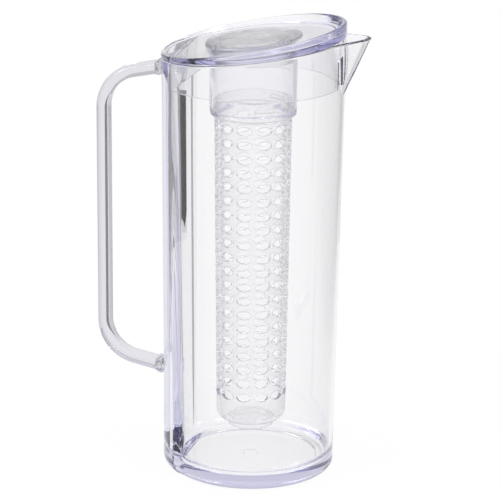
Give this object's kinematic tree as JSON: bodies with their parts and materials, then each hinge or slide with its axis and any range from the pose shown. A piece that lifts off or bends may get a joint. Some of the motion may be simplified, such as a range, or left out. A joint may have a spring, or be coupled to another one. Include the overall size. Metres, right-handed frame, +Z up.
{
  "type": "infusion pitcher",
  "caption": "Clear infusion pitcher with a slanted rim, pouring spout, loop handle, lift-off lid and a perforated infuser rod hanging under the lid.",
  "frame": {"origin": "on the table under the middle of the bounding box, halfway between the grip's outer face and the spout's lip", "axes": "+X towards the spout, handle at -X, +Z up along the jug's axis, which stands 14.65 mm from the origin on +X"},
  "size_m": [0.1894, 0.125, 0.3162],
  "materials": {
    "pitcher_body": "clear, polished",
    "handle": "clear, polished",
    "lid": "clear, polished",
    "lid_cap": "hazy, satin",
    "infuser_rod": "clear, polished"
  },
  "bodies": {
    "pitcher": {"pitcher_body": "pitcher_body", "handle": "handle"},
    "lid_set": {"lid": "lid", "lid_cap": "lid_cap"},
    "infuser": {"infuser_rod": "infuser_rod"}
  },
  "joints": [
    {"name": "lid_lift", "type": "slide", "parent": "pitcher", "child": "lid_set", "axis": [0, 0, 1], "range_m": [0, 0.3]},
    {"name": "infuser_twist", "type": "hinge", "parent": "lid_set", "child": "infuser", "pos_m": [0.01465, 0, 0.2555], "axis": [0, 0, 1], "range_deg": [0, 60]}
  ]
}
